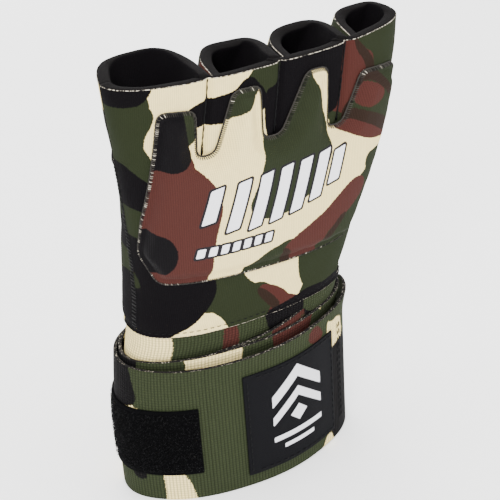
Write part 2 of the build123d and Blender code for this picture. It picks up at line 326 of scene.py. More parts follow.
def oriented(table, inside):
    """The table as a surface whose normals point away from a point inside it."""
    surface = Surface(table)
    j, i = table.shape[0] // 2, table.shape[1] // 2
    outward = surface.normals[j, i] @ (table[j, i] - np.array(inside))
    return Surface(table, outward < 0)


class Surface:
    """A table of points over (u, v), both 0 to 1, with normals that point outward."""

    def __init__(self, table, flip=False):
        self.table = table
        du, dv = np.gradient(table, axis=1), np.gradient(table, axis=0)
        self.flip = flip
        self.normals = unit(np.cross(du, dv)) * (-1 if flip else 1)
        step_u = np.linalg.norm(np.diff(table, axis=1), axis=-1)
        step_v = np.linalg.norm(np.diff(table, axis=0), axis=-1)
        self.width = step_u.sum(1).mean()
        self.height = step_v.sum(0).mean()
        across = np.concatenate([np.zeros((len(table), 1)), np.cumsum(step_u, 1)], 1)
        self.across = across - across[:, -1:] / 2
        self.up = np.concatenate([np.zeros((1, table.shape[1])), np.cumsum(step_v, 0)], 0)

    def sample(self, array, u, v):
        rows, cols = array.shape[:2]
        x, y = np.clip(u, 0, 1) * (cols - 1), np.clip(v, 0, 1) * (rows - 1)
        i, j = np.minimum(x.astype(int), cols - 2), np.minimum(y.astype(int), rows - 2)
        fx, fy = x - i, y - j
        if array.ndim == 3:
            fx, fy = fx[:, None], fy[:, None]
        low = array[j, i] * (1 - fx) + array[j, i + 1] * fx
        high = array[j + 1, i] * (1 - fx) + array[j + 1, i + 1] * fx
        return low * (1 - fy) + high * fy

    def points(self, u, v):
        return self.sample(self.table, u, v)

    def normal(self, u, v):
        return unit(self.sample(self.normals, u, v))

    def grown(self, height):
        return Surface(self.table + self.normals * height[..., None], self.flip)


Z0, Z1 = STATIONS[0, 0], STATIONS[-1, 0]
LIMITS = [np.polyfit((STATIONS[:, 0] - Z0) / (Z1 - Z0), STATIONS[:, k], 3) for k in (1, 2, 3, 4)]


def section(z, grow=0.0, count=1440):
    """The sleeve's oval at one height, as closed points starting at the thumb side."""
    t = (z - Z0) / (Z1 - Z0)
    left, right, front, back = [np.polyval(c, t) for c in LIMITS]
    left, right, front, back = left - grow, right + grow, front - grow, back + grow
    a = np.linspace(0, 2 * math.pi, count, endpoint=False)
    return columns((left + right) / 2 + (right - left) / 2 * oval(np.cos(a), ROUNDNESS),
                   (front + back) / 2 + (back - front) / 2 * oval(np.sin(a), ROUNDNESS))


def lengths(line):
    """Length along an open line up to each of its points."""
    return np.concatenate([[0], np.cumsum(np.linalg.norm(np.diff(line, axis=0), axis=1))])


def read(line, total, at):
    """Points on a line at some lengths along it."""
    return columns(*[np.interp(at, total, coordinate) for coordinate in line.T])


def along(line, where):
    """Points along an open line at fractions of its length."""
    total = lengths(line)
    return read(line, total, where * total[-1])


def crossing_seam(ring, side):
    """Index after which the ring crosses the seam plane on one side, going by rising angle."""
    y = ring[:, 1] - SEAM_Y
    cross = np.nonzero((y <= 0) != (np.roll(y, -1) <= 0))[0]
    return cross[np.argmax(ring[cross, 0] * side)]


def half_ring(z, front):
    """The back-of-hand or palm half of the oval, from the little finger's side to the thumb's."""
    ring = section(z)
    left, right = crossing_seam(ring, -1), crossing_seam(ring, 1)

    def cut(i):
        a, b = ring[i], ring[(i + 1) % len(ring)]
        return a + (b - a) * (SEAM_Y - a[1]) / (b[1] - a[1])

    if front:
        order = np.arange(left + 1, right + 1 if right > left else right + 1 + len(ring)) % len(ring)
        return np.vstack([cut(left), ring[order], cut(right)])
    order = np.arange(right + 1, (left if left > right else left + len(ring)) + 1) % len(ring)
    return np.vstack([cut(right), ring[order], cut(left)])[::-1]


ROWS = 173               # in a panel's table of points


def panel_table(front, low, high):
    """The back-of-hand or palm side of the sleeve between two heights."""
    q = np.linspace(0, 1, 361)
    return loft(lambda z: along(half_ring(z, front), q), np.linspace(low, high, ROWS))


# ---- meshes ----

def clipped_grid(us, vs, field):
    """Cells of a grid where field <= 0, cut where it crosses 0: (u, v) points and faces."""
    points, faces, known = [], [], {}

    def corner(c):
        if c not in known:
            known[c] = len(points)
            points.append((us[c[0]], vs[c[1]]))
        return known[c]

    def between(a, b):
        key = (a, b) if a < b else (b, a)
        if key not in known:
            a, b = key
            t = min(max(field[a] / (field[a] - field[b]), 0.04), 0.96)
            known[key] = len(points)
            points.append((us[a[0]] * (1 - t) + us[b[0]] * t, vs[a[1]] * (1 - t) + vs[b[1]] * t))
        return known[key]

    inside = field <= 0
    any_inside = inside[:-1, :-1] | inside[1:, :-1] | inside[:-1, 1:] | inside[1:, 1:]
    for i, j in zip(*np.nonzero(any_inside)):
        cell = [(i, j), (i + 1, j), (i + 1, j + 1), (i, j + 1)]
        ring = []
        for a, b in zip(cell, cell[1:] + cell[:1]):
            if inside[a]:
                ring.append(corner(a))
            if inside[a] != inside[b]:
                ring.append(between(a, b))
        if len(ring) > 2:
            faces.append(ring)
    return np.array(points), faces


def boundary(faces):
    """Directed edges that belong to one face only."""
    edges = dict.fromkeys((a, b) for face in faces for a, b in zip(face, face[1:] + face[:1]))
    return [(a, b) for a, b in edges if (b, a) not in edges]


def shell(points, normals, faces, thickness, bulge=0.5, steps=5):
    """Closed sheet: outer faces, a rounded rim, inner faces. Also says which face is which."""
    count = len(points)
    thickness = np.broadcast_to(np.asarray(thickness, float).reshape(-1, 1), (count, 1))
    inner = points - normals * thickness
    verts = [points, inner]
    kinds = [0] * len(faces) + [2] * len(faces)
    out = [list(f) for f in faces] + [[v + count for v in reversed(f)] for f in faces]
    edges = boundary(faces)
    away = np.zeros_like(points)
    for a, b in edges:
        direction = unit(np.cross(points[b] - points[a], normals[a]))
        away[a] += direction
        away[b] += direction
    rim = sorted({v for edge in edges for v in edge})
    place = {v: k for k, v in enumerate(rim)}
    m = unit(away[rim])
    first = 2 * count
    turns = [0.14 * math.pi] + [math.pi * (0.14 + 0.86 * k / (steps - 1)) for k in range(1, steps - 1)]
    for phi in turns:
        depth = thickness[rim] * (1 - math.cos(phi)) / 2
        verts.append(points[rim] - normals[rim] * depth + m * bulge * math.sin(phi))

    def row(v, k):
        if k == 0:
            return v
        if k == steps:
            return v + count
        return first + (k - 1) * len(rim) + place[v]

    for a, b in edges:
        for k in range(steps):
            out.append([row(b, k), row(a, k), row(a, k + 1), row(b, k + 1)])
            kinds.append(3 if k == 0 else 1)
    source = np.concatenate([np.arange(count), np.arange(count)] + [np.array(rim, int)] * (steps - 1))
    return np.vstack(verts), out, kinds, source


def make_piece(name, points, faces, materials, kinds, attributes, source=slice(None)):
    """A mesh object; each point takes the attributes of its source point."""
    mesh = bpy.data.meshes.new(name)
    mesh.from_pydata((np.asarray(points) * MM).tolist(), [], faces)
    for m in materials:
        mesh.materials.append(m)
    mesh.polygons.foreach_set("material_index", np.array(kinds, np.int32))
    for key, value in attributes.items():
        value = np.asarray(value, np.float32)[source]
        kind, field = ("FLOAT", "value") if value.ndim == 1 else ("FLOAT_VECTOR", "vector")
        mesh.attributes.new(key, kind, "POINT").data.foreach_set(field, value.ravel())
    mesh.polygons.foreach_set("use_smooth", np.ones(len(faces), bool))
    mesh.update()
    obj = bpy.data.objects.new(name, mesh)
    bpy.context.scene.collection.objects.link(obj)
    return obj


def grid_on(surface, step, field=None, trim=(0.0, 0.0)):
    """(u, v) points and faces over a surface, with cells about step across."""
    cut_u, cut_v = trim[0] / surface.width, trim[1] / surface.height
    us = np.linspace(cut_u, 1 - cut_u, max(4, round(surface.width / step)))
    vs = np.linspace(cut_v, 1 - cut_v, max(4, round(surface.height / step)))
    values = np.full((len(us), len(vs)), -1.0)
    if field is not None:
        gu, gv = np.meshgrid(us, vs, indexing="ij")
        values = field(gu.ravel(), gv.ravel()).reshape(gu.shape)
    uv, faces = clipped_grid(us, vs, values)
    if surface.flip:
        faces = [f[::-1] for f in faces]
    return uv, faces


def cloth(name, surface, thickness, materials, drawing=None, step=0.9, field=None, bulge=0.45,
          trim=(0.45, 0.45), shift=None, place=None, extra=None):
    """A sheet of fabric over a surface, with the weave's coordinates and the print's fields.

    The print lies along the weave, or with shift it is laid on as seen from the front.
    """
    uv, faces = grid_on(surface, step, field, trim)
    u, v = uv[:, 0], uv[:, 1]
    points, normals = surface.points(u, v), surface.normal(u, v)
    verts, out, kinds, source = shell(points, normals, faces, thickness, bulge)
    if place is None:
        weave = columns(surface.sample(surface.across, u, v), surface.sample(surface.up, u, v), 0)
    else:
        weave = place(u, v)
    fields = {"weave": weave, **{key: make(weave) for key, make in (extra or {}).items()}}
    if drawing is not None:
        fields.update(print_fields(weave[:, :2] if shift is None else points[:, [0, 2]] + shift, drawing))
    return make_piece(name, verts, out, materials, kinds, fields, source)


def thread_runs(name, paths, radius, material, sides=6, tones=None):
    """Short lengths of thread as tubes, one mesh."""
    verts, faces, tone = [], [], []
    ends = 0.55              # the threads taper at both ends
    for index, path in enumerate(paths):
        path = np.asarray(path, float)
        tangent = unit(np.gradient(path, axis=0))
        side = unit(np.cross(tangent, (0.31, 0.17, 0.93)))
        other = np.cross(tangent, side)
        base, n = len(verts), len(path)
        for k in range(n):
            r = (radius if np.isscalar(radius) else radius[index]) * (ends if k in (0, n - 1) else 1.0)
            for i in range(sides):
                a = 2 * math.pi * i / sides
                verts.append(path[k] + r * (math.cos(a) * side[k] + math.sin(a) * other[k]))
        for low in range(base, base + (n - 1) * sides, sides):
            for i in range(sides):
                j = (i + 1) % sides
                faces.append([low + i, low + j, low + sides + j, low + sides + i])
        faces.append([base + i for i in reversed(range(sides))])
        faces.append([base + (n - 1) * sides + i for i in range(sides)])
        tone += [0.0 if tones is None else tones[index]] * (n * sides)
    return make_piece(name, verts, faces, [material], [0] * len(faces), {"tone": tone})

# ---- materials ----

CREAM, GREEN = (0.965, 0.78, 0.35), (0.0170, 0.0215, 0.0100)
BROWN, BLACK = (0.054, 0.0168, 0.0135), (0.0032, 0.0026, 0.0033)
UMBER = (0.020, 0.0115, 0.0080)
JERSEY_ROW, JERSEY_LOOP = 0.62, 0.55


class Wire:
    """A node's output that arithmetic can be written on."""

    def __init__(self, nodes, socket):
        self.nodes, self.socket = nodes, socket

    def __add__(self, other):
        return self.nodes.math("ADD", self, other)

    def __sub__(self, other):
        return self.nodes.math("SUBTRACT", self, other)

    def __rsub__(self, other):
        return self.nodes.math("SUBTRACT", other, self)

    def __mul__(self, other):
        return self.nodes.math("MULTIPLY", self, other)

    def __truediv__(self, other):
        return self.nodes.math("DIVIDE", self, other)

    def __pow__(self, other):
        return self.nodes.math("POWER", self, other)

    def __abs__(self):
        return self.nodes.math("ABSOLUTE", self)


class Nodes:
    """A short way to write a node tree."""

    def __init__(self, name):
        self.material = bpy.data.materials.new(name)
        self.material.use_nodes = True
        self.tree = self.material.node_tree
        self.shader = self.tree.nodes["Principled BSDF"]

    def add(self, kind, inputs=(), output=0, **settings):
        """A node with its settings and some inputs filled; gives one output."""
        node = self.tree.nodes.new(kind)
        for key, value in settings.items():
            setattr(node, key, value)
        for key, value in dict(inputs).items():
            self.put(node.inputs[key], value)
        return Wire(self, node.outputs[output])

    def put(self, socket, value):
        if isinstance(value, Wire):
            self.tree.links.new(value.socket, socket)
        else:
            if isinstance(value, tuple) and len(value) == 3 and socket.type == "RGBA":
                value = (*value, 1.0)
            socket.default_value = value

    def math(self, operation, a, b=0.0):
        return self.add("ShaderNodeMath", {0: a, 1: b}, operation=operation)

    def attribute(self, name, output="Fac"):
        return self.add("ShaderNodeAttribute", output=output, attribute_name=name, attribute_type="GEOMETRY")

    def weave(self):
        """Place in the cloth in millimetres, whole and split in three."""
        weave = self.attribute("weave", "Vector")
        return weave, *self.split(weave)

    def place(self):
        return self.add("ShaderNodeTexCoord", output="Object")

    def noise(self, vector, scale, detail=2.0, roughness=0.5):
        return self.add("ShaderNodeTexNoise", {"Vector": vector, "Scale": scale, "Detail": detail,
                                               "Roughness": roughness}, "Fac")

    def cells(self, vector, scale):
        return self.add("ShaderNodeTexVoronoi", {"Vector": vector, "Scale": scale}, "Distance")

    def step(self, value, low, high):
        return self.add("ShaderNodeMapRange", {"Value": value, "From Min": low, "From Max": high, "To Min": 0.0,
                                               "To Max": 1.0}, "Result", interpolation_type="SMOOTHSTEP")

    def mix(self, factor, a, b, blend="MIX"):
        return self.add("ShaderNodeMix", {"Factor": factor, 6: a, 7: b}, 2, data_type="RGBA", blend_type=blend)

    def shaded(self, colour, shade):
        return self.mix(1.0, colour, shade, "MULTIPLY")

    def split(self, vector):
        node = self.add("ShaderNodeSeparateXYZ", {0: vector}).socket.node
        return [Wire(self, socket) for socket in node.outputs]

    def wave(self, coordinate, pitch):
        """Round ridges, 0 to 1, at a pitch in millimetres."""
        return abs(self.math("SINE", coordinate * (math.pi / pitch)))

    def jersey(self, weave, x, y):
        """Rows of small knit loops: their height and their shade."""
        rows, loops = self.wave(x, JERSEY_ROW), self.wave(y, JERSEY_LOOP)
        height = rows * (loops * 0.5 + 0.5) + self.noise(weave, 5.0, 3.0, 0.7) * 0.5
        return height, rows * 0.20 + (loops * 0.10 + 0.72)

    def camouflage(self, weave, fray=0.35, soft=0.14, green=GREEN):
        """Cream, green, brown and black by the print's distance fields."""
        ragged = (self.noise(weave, 1.6) - 0.5) * (fray * 2)
        colour = self.mix(self.noise(weave, 0.5, 3.0), CREAM, tuple(0.86 * c for c in CREAM))
        for name, paint in (("green", green), ("brown", BROWN), ("umber", UMBER), ("black", BLACK)):
            colour = self.mix(self.step(self.attribute(name) + ragged, soft, -soft), colour, paint)
        return colour

    def finish(self, colour, height=None, strength=0.0, depth_mm=0.0, rough=0.9, specular=0.25):
        """Colour, roughness and a bump of a depth in millimetres."""
        self.put(self.shader.inputs["Base Color"], colour)
        self.put(self.shader.inputs["Roughness"], rough)
        self.put(self.shader.inputs["Specular IOR Level"], specular)
        if height is not None:
            self.put(self.shader.inputs["Normal"], self.add(
                "ShaderNodeBump", {"Height": height, "Strength": strength, "Distance": depth_mm * MM}, "Normal"))
        return self.material


def knit_material(name, printed):
    """Fine jersey knit: rows of small loops, printed or plain black."""
    n = Nodes(name)
    weave, x, y, _ = n.weave()
    leg = abs(n.math("FRACT", x / JERSEY_ROW) - 0.5) * 0.9
    height, shade = n.jersey(weave, x, y + leg)
    colour = n.shaded(n.camouflage(weave) if printed else BLACK, shade)
    speck = n.step(n.noise(weave, 9.0, 1.0), 0.62, 0.78) * (0.04 if printed else 0.02)
    return n.finish(n.mix(speck, colour, (0.30, 0.30, 0.28)), height, 0.55, 0.16, 0.92, 0.05)


def foam_material():
    """The cut edge of black foam rubber, with small open cells."""
    n = Nodes("foam_edge")
    spot = n.add("ShaderNodeVectorMath", {0: n.place(), "Scale": 1 / MM}, operation="SCALE")
    grain = n.noise(spot, 4.0, 3.0, 0.7)
    colour = n.mix(grain, (0.0022, 0.002, 0.0022), (0.0085, 0.0075, 0.0075))
    return n.finish(colour, n.cells(spot, 2.6) + grain, 0.5, 0.14, 0.95, 0.05)


def elastic_material(name, printed=True):
    """Woven elastic: round cords across its length, crossed by rows of short picks."""
    n = Nodes(name)
    weave, x, y, _ = n.weave()
    picks = n.wave(y + n.noise(weave, 0.35, 1.0) * 0.5, 0.92)
    grain = n.noise(weave, 4.5, 3.0, 0.7)
    height = n.wave(x, 1.14) ** 0.7 * (picks ** 0.6 * 0.75 + 0.25)
    colour = n.camouflage(weave, 0.8, 0.2, tuple(1.55 * c for c in GREEN)) if printed else BLACK
    # Darker in the valleys between the cords and picks, which is painted shade, and mottled by the grain, which is a
    # random tone.
    colour = n.shaded(colour, height ** 0.8 * 0.72 + (grain * 0.3 + 0.34))
    fleck = n.step(n.noise(weave, 3.4), 0.55, 0.75) * 0.14
    colour = n.mix(fleck, colour, (0.085, 0.095, 0.065) if printed else (0.03, 0.03, 0.03))
    return n.finish(colour, height + grain * 0.25, 0.9, 0.42, 0.88, 0.07)


def pile_material():
    """Loop tape: a dense nap of tiny loops between two flat woven edges."""
    n = Nodes("loop_pile")
    weave, x, y, _ = n.weave()
    fuzz = n.noise(weave, 2.4, 5.0, 0.75) * 1.4 + n.cells(weave, 1.5)
    edge = n.step(abs(y - 12.5), 10.9, 11.3)
    height = fuzz * (1.0 - edge) + n.wave(x, 0.5) * n.wave(y, 0.8) * (edge * 0.4)
    lint = n.step(n.noise(weave, 3.6, 4.0, 0.8), 0.56, 0.74)
    colour = n.mix(lint * 0.75, (0.0015, 0.0015, 0.0018), (0.016, 0.016, 0.018))
    return n.finish(colour, height, 1.0, 0.5, 0.97, 0.04)


def hook_material():
    """Hook tape: rows of small stiff hooks."""
    n = Nodes("hook_field")
    _, x, y, _ = n.weave()
    hooks = n.wave(x, 0.9) * n.wave(y, 0.75)
    # The hooks' tops are painted lighter than the ground between them: a painted highlight.
    colour = n.mix(n.step(hooks, 0.45, 0.9), (0.004, 0.004, 0.004), (0.03, 0.03, 0.032))
    return n.finish(colour, n.step(hooks, 0.35, 0.7), 1.0, 0.5, 0.5, 0.4)


def twill_material():
    """Black twill with a fine diagonal and a raised white emblem in satin stitch."""
    n = Nodes("label_twill")
    weave, x, y, _ = n.weave()
    diagonal, threads = n.wave(x - y * 0.9, 0.62), n.wave(y + x * 0.12, 0.31)
    ragged = (n.noise(weave, 2.6) - 0.5) * 0.35
    emblem = n.step(n.attribute("emblem") + ragged, 0.12, -0.12)
    satin = n.wave(y + x * 0.25, 0.36)
    # The ground is darker in the valleys of the diagonal and lighter on its ridges: painted shade.
    ground = n.mix(diagonal, (0.0009, 0.0009, 0.0011), (0.0060, 0.0060, 0.0075))
    # The emblem's white is greyer in the valleys between the satin threads: painted shade.
    colour = n.mix(emblem, ground, n.mix(satin, (0.52, 0.51, 0.55), (0.86, 0.85, 0.88)))
    height = (diagonal * 0.7 + threads * 0.3) * (1.0 - emblem) + (satin * 0.35 + 1.2) * emblem
    return n.finish(colour, height, 0.7, 0.22, 0.8, 0.06)


def pad_material():
    """The printed knit of the pad, with a white screen print edged in black."""
    n = Nodes("pad_knit")
    weave, x, y, _ = n.weave()
    knit, shade = n.jersey(weave, x, y)
    colour = n.shaded(n.camouflage(weave), shade)
    mark = n.attribute("mark") + (n.noise(weave, 3.0, 1.0) - 0.5) * 0.18
    outline, ink = n.step(mark, 0.75, 0.62), n.step(mark, 0.07, -0.07)
    colour = n.mix(ink, n.mix(outline, colour, (0.012, 0.011, 0.013)), (0.83, 0.82, 0.86))
    return n.finish(colour, knit * (1.0 - outline * 0.6) + outline * 0.3, 0.55, 0.16, 0.9, 0.10)


def thread_material(name, dark, light):
    """Spun thread; each stitch takes its own tone between two colours."""
    n = Nodes(name)
    grain = n.noise(n.place(), 3500.0)
    colour = n.shaded(n.mix(n.attribute("tone"), dark, light), grain * 0.5 + 0.7)
    return n.finish(colour, grain, 0.4, 0.05, 0.85, 0.12)


def cut_edge_material(name, low, high):
    """A cut or woven edge: dark yarn ends flecked with pale ones, but not along the side seams."""
    n = Nodes(name)
    place = n.place()
    from_seam = abs(n.split(place)[1] - SEAM_Y * MM)
    fleck = n.step(n.noise(place, 1900.0, 2.0, 0.6), low, high) * n.step(from_seam, 0.6 * MM, 1.4 * MM)
    colour = n.mix(fleck, (0.010, 0.009, 0.009), (0.46, 0.42, 0.34))
    return n.finish(colour, n.noise(place, 5200.0), 0.6, 0.08, 0.9, 0.10)


KNIT, LINING, FOAM = knit_material("sleeve_knit", True), knit_material("black_lining", False), foam_material()
STRETCH, CORD_EDGE = elastic_material("strap_elastic"), elastic_material("elastic_edge", False)
PILE, HOOKS, TWILL, PAD = pile_material(), hook_material(), twill_material(), pad_material()
BLACK_THREAD = thread_material("black_thread", (0.006, 0.006, 0.0065), (0.03, 0.03, 0.03))
OVERLOCK = thread_material("overlock_thread", (0.006, 0.0055, 0.006), (0.50, 0.46, 0.38))
PILE_THREAD = thread_material("pile_thread", (0.002, 0.002, 0.0022), (0.030, 0.030, 0.032))
CUT_KNIT = cut_edge_material("cut_knit_edge", 0.44, 0.58)
SELVAGE = cut_edge_material("strap_selvage", 0.56, 0.74)
SLEEVE_SET, BAND_SET = [KNIT, FOAM, LINING, CUT_KNIT], [STRETCH, SELVAGE, STRETCH, STRETCH]

# ---- sleeve ----

# The sewn lines between the fingers, as seen from the front.
DIVIDERS = [((-13.4, 123.5), (-8.8, 148)), ((11.0, 124.0), (14.6, 148)), ((33.8, 121.5), (38.8, 148))]


def segment_distance(x, z, a, b):
    a, b = np.array(a, float), np.array(b, float)
    d = b - a
    t = np.clip(((x - a[0]) * d[0] + (z - a[1]) * d[1]) / (d @ d), 0, 1)
    return np.hypot(x - a[0] - t * d[0], z - a[1] - t * d[1])


def soften(table, front):
    """Sags, swellings and the creases along sewn lines, as a height over the plain oval."""
    height = 0.22 * smooth_noise(table, 34, 3) + 0.10 * smooth_noise(table, 13, 4)
    x, z = table[..., 0], table[..., 2]
    if front:
        for a, b in DIVIDERS:
            gap = segment_distance(x, z, a, b)
            height -= 1.3 * np.exp(-(gap / 0.8) ** 2) + 0.6 * np.exp(-(gap / 3.2) ** 2)
    height -= 0.5 * np.exp(-((z - CUFF_TOP - 1.6) / 0.7) ** 2)
    height += 0.25 * np.exp(-((z - CUFF_TOP - 4.5) / 2.5) ** 2)
    return height


def thumb_field(surface):
    """Above 0 inside the thumb hole: an oval with square lower corners, narrower on the back."""
    def field(u, v):
        p = surface.points(u, v)
        deep = np.where(p[:, 1] < SEAM_Y, 7.5 + 0.3 * np.clip(78 - p[:, 2], 0, None), THUMB_DEPTH)
        power = np.where(p[:, 2] < THUMB_Z, 5.0, 2.0)
        across, up = np.abs(p[:, 1] - SEAM_Y) / deep, np.abs(p[:, 2] - THUMB_Z) / THUMB_HEIGHT
        hole = 1 - (across ** power + up ** power) ** (1 / power)
        return np.where(p[:, 0] > 15, hole * 8, -5.0)
    return field


PALM_MIDDLE = (12.0, -4.0, 100.0)
back = oriented(panel_table(True, CUFF_TOP, RIM), PALM_MIDDLE)
back = back.grown(soften(back.table, True))
palm = oriented(panel_table(False, CUFF_TOP, LOOP_BASE), PALM_MIDDLE)
palm = palm.grown(soften(palm.table, False))

back_panel = cloth("back_panel_knit", back, NEOPRENE, SLEEVE_SET, BODY_PRINT, 0.62, thumb_field(back), shift=BODY_SHIFT)
# The palm's print varies freely, but its little-finger edge shows and goes on from the back's.
palm_print = random_print(130, 70)
for outlines in palm_print.values():
    outlines[:] = [o for o in outlines if min(p[0] for p in o) > -44]
for colour, low, high in (("black", -4, 22), ("green", 21, 31), ("black", 30, 42), ("green", 41, 53),
                          ("black", 52, 70)):
    palm_print[colour].append([(-60, low), (-44, low), (-40, (low + high) / 2), (-44, high), (-60, high)])
palm_panel = cloth("palm_panel_knit", palm, NEOPRENE, SLEEVE_SET, palm_print, 1.0, thumb_field(palm))


def loop_line(name, z):
    """A finger loop's outer face at one height, from its little-finger end round the palm side."""
    base, rim, lean = FINGERS[name]
    left, right, back_y = [b + (r - b) * (z - LOOP_BASE) / (RIM - LOOP_BASE) for b, r in zip(base, rim)]
    deep = back_y - LOOP_FRONT
    reach = SEAM_Y - LOOP_FRONT
    k = (1 - (reach / deep) ** LOOP_ROUNDNESS) ** (1 / LOOP_ROUNDNESS)
    edge = half_ring(z, True)
    if name == "little":
        left = (edge[0, 0] - lean * reach - right * (1 - k) / 2) * 2 / (1 + k)
    if name == "index":
        right = (edge[-1, 0] - lean * reach - left * (1 - k) / 2) * 2 / (1 + k)
    a = np.linspace(math.pi, 0, 721)
    c = np.cos(a)
    x = (left + right) / 2 + (right - left) / 2 * oval(c, LOOP_ROUNDNESS)
    y = LOOP_FRONT + deep * oval(np.sin(a), LOOP_ROUNDNESS)
    line = columns(x + lean * (y - LOOP_FRONT), y)
    if name == "little":
        line = line[(y >= SEAM_Y) | (c > 0)]
    if name == "index":
        line = line[(y >= SEAM_Y) | (c < 0)]
    return line


def loop_surface(name):
    q = np.linspace(0, 1, 201)
    table = loft(lambda z: along(loop_line(name, z), q), np.linspace(LOOP_BASE, RIM, 51))
    base, rim, _ = FINGERS[name]
    surface = oriented(table, ((base[0] + base[1]) / 2 + 3, -9, 134))
    ends = np.minimum(np.abs(q), np.abs(1 - q)) * surface.width
    return surface.grown(0.3 * smooth_noise(table, 17, len(name)) * np.clip(ends / 6, 0, 1))


loops = {name: loop_surface(name) for name in FINGERS}
loop_pieces = {}
# The patch on each loop's little-finger side, which shows: colour and (low, high) corners.
FIRST_SIDE = {"little": ("black", (-8, -8, 24, 18)), "ring": ("brown", (-8, -8, 15, 40)),
              "middle": ("black", (-8, 4, 16, 40)), "index": ("green", (-8, -8, 20, 40))}
for name, surface in loops.items():
    drawing = random_print(surface.width, 30)
    colour, (x0, y0, x1, y1) = FIRST_SIDE[name]
    x0, x1 = x0 - surface.width / 2, x1 - surface.width / 2
    side = [(x0, y0), (x1, y0), (x1 + 3, (y0 + y1) / 2), (x1 - 2, y1), (x0, y1)]
    for other in drawing:
        drawing[other] = [o for o in drawing[other] if min(p[0] for p in o) > x1 - 2]
    drawing[colour].append(side)
    loop_pieces[name] = cloth(f"finger_loop_{name}_knit", surface, NEOPRENE, SLEEVE_SET, drawing, 0.85,
                              trim=(0.0, 0.45))

# ---- pad ----

PAD_LOW, PAD_HIGH, PAD_REACH, PAD_MIDDLE = 77.0, 146.0, 57.0, 12.0


def pad_base():
    """Back of the hand by true distance across from x = PAD_MIDDLE, and height."""
    s = np.linspace(-PAD_REACH, PAD_REACH, 305)
    lines = []

    def line_at(z):
        ring = np.roll(section(z), -360, axis=0)
        total = lengths(ring)
        front = ring[:, 1] < SEAM_Y
        middle = np.interp(PAD_MIDDLE, ring[front, 0], total[front])
        lines.append((ring[front, 0], total[front] - middle))
        return read(ring, total, middle + s)

    return oriented(loft(line_at, np.linspace(PAD_LOW, PAD_HIGH, 139)), PALM_MIDDLE), lines


pad_plain, pad_lines = pad_base()
pad_under = pad_plain.grown(0.22 * smooth_noise(pad_plain.table, 34, 3))


def pad_place(x, z):
    """(distance across, height) of a point given as seen from the front."""
    last = len(pad_lines) - 1
    j = np.clip(np.round((z - PAD_LOW) / (PAD_HIGH - PAD_LOW) * last).astype(int), 0, last)
    return np.array([(np.interp(a, *pad_lines[k]), b) for a, b, k in zip(x, z, j)])


def filleted(outline, cut=2.6, steps=6):
    """A closed outline with its corners rounded."""
    p = np.array(outline, float)
    out = []
    for a, b, c in zip(np.roll(p, 1, 0), p, np.roll(p, -1, 0)):
        back_len, next_len = np.linalg.norm(a - b), np.linalg.norm(c - b)
        start = b + (a - b) * min(cut / back_len, 0.45)
        end = b + (c - b) * min(cut / next_len, 0.45)
        for t in np.linspace(0, 1, steps):
            out.append((1 - t) ** 2 * start + 2 * t * (1 - t) * b + t * t * end)
    return np.array(out)


def evenly(closed, spacing):
    """Points at an even spacing round a closed line."""
    line = np.vstack([closed, closed[:1]])
    return along(line, np.linspace(0, 1, max(8, round(lengths(line)[-1] / spacing)), endpoint=False))


outline_xz = evenly(filleted(PAD_OUTLINE), 0.9)
pad_edge = pad_place(outline_xz[:, 0], outline_xz[:, 1])


def pad_height(d):
    """Height of the cover over the panel, at a distance in from its edge."""
    d = np.maximum(d, 0)
    sewn = 0.35 + 0.85 * np.clip(d / 0.8, 0, 1) ** 0.5
    sewn -= 0.35 * np.exp(-((d - 1.9) / 0.45) ** 2)
    return sewn + 2.9 * ease((d - 1.9) / 4.2) ** 0.8 + 0.7 * (1 - np.exp(-np.maximum(d - 5, 0) / 7))


def pad_field(u, v):
    return distance(columns(u * 2 * PAD_REACH - PAD_REACH, PAD_LOW + v * (PAD_HIGH - PAD_LOW)), pad_edge)


# A row of slanted bars and a row of small blocks: a plain printed ornament.
BARS = [[(x, low), (x + 4.1, low + 0.7), (x + 4.1 + lean, high + 0.7), (x + lean, high)] for x, low, high, lean in (
    (-15.5, 101.5, 112.5, 3.4), (-8.5, 97.5, 113.0, 5.0), (-1.5, 96.5, 113.5, 5.4), (5.5, 97.0, 114.0, 5.4),
    (12.5, 98.0, 114.5, 5.2), (19.5, 100.0, 115.0, 4.8), (26.5, 103.5, 114.0, 3.4))]
BLOCKS = [[(x, 90.6), (x + 2.3, 90.6), (x + 3.1, 93.6), (x + 0.8, 93.6)] for x in np.arange(-17.5, 4, 3.5)]


def build_pad():
    uv, faces = grid_on(pad_under, 0.55, pad_field)
    u, v = uv[:, 0], uv[:, 1]
    depth = -pad_field(u, v)
    base, normals = pad_under.points(u, v), pad_under.normal(u, v)
    pucker = 0.16 * np.sin(0.9 * (base[:, 0] + 0.7 * base[:, 2])) * np.exp(-((depth - 3.2) / 1.8) ** 2)
    height = pad_height(depth) + pucker + 0.22 * smooth_noise(base, 21, 9) * np.clip(depth / 6, 0, 1)
    verts, out, kinds, source = shell(base + normals * height[:, None], normals, faces, height + 0.25, 0.2, 3)
    at = base[:, [0, 2]] + PAD_SHIFT
    mark = nearest(at, [np.array(shape) for shape in BARS + BLOCKS])
    fields = {"weave": columns(u * 2 * PAD_REACH, base[:, 2], 0), "mark": mark, **print_fields(at, PAD_PRINT)}
    return make_piece("pad_cover_knit", verts, out, [PAD, PAD, LINING, PAD], kinds, fields, source)


def over_edge(place, inward, depths, shift, tangent, lift):
    """A thread's path across the pad's edge, as points over the cover and the panel."""
    d = np.array(depths)
    slide = np.linspace(0, shift, len(d))
    at = place + inward * d[:, None] + tangent * slide[:, None]
    u, v = (at[:, 0] + PAD_REACH) / (2 * PAD_REACH), (at[:, 1] - PAD_LOW) / (PAD_HIGH - PAD_LOW)
    h = np.where(d > 0, pad_height(d), 0.0) + np.array(lift)
    return pad_under.points(u, v) + pad_under.normal(u, v) * h[:, None]


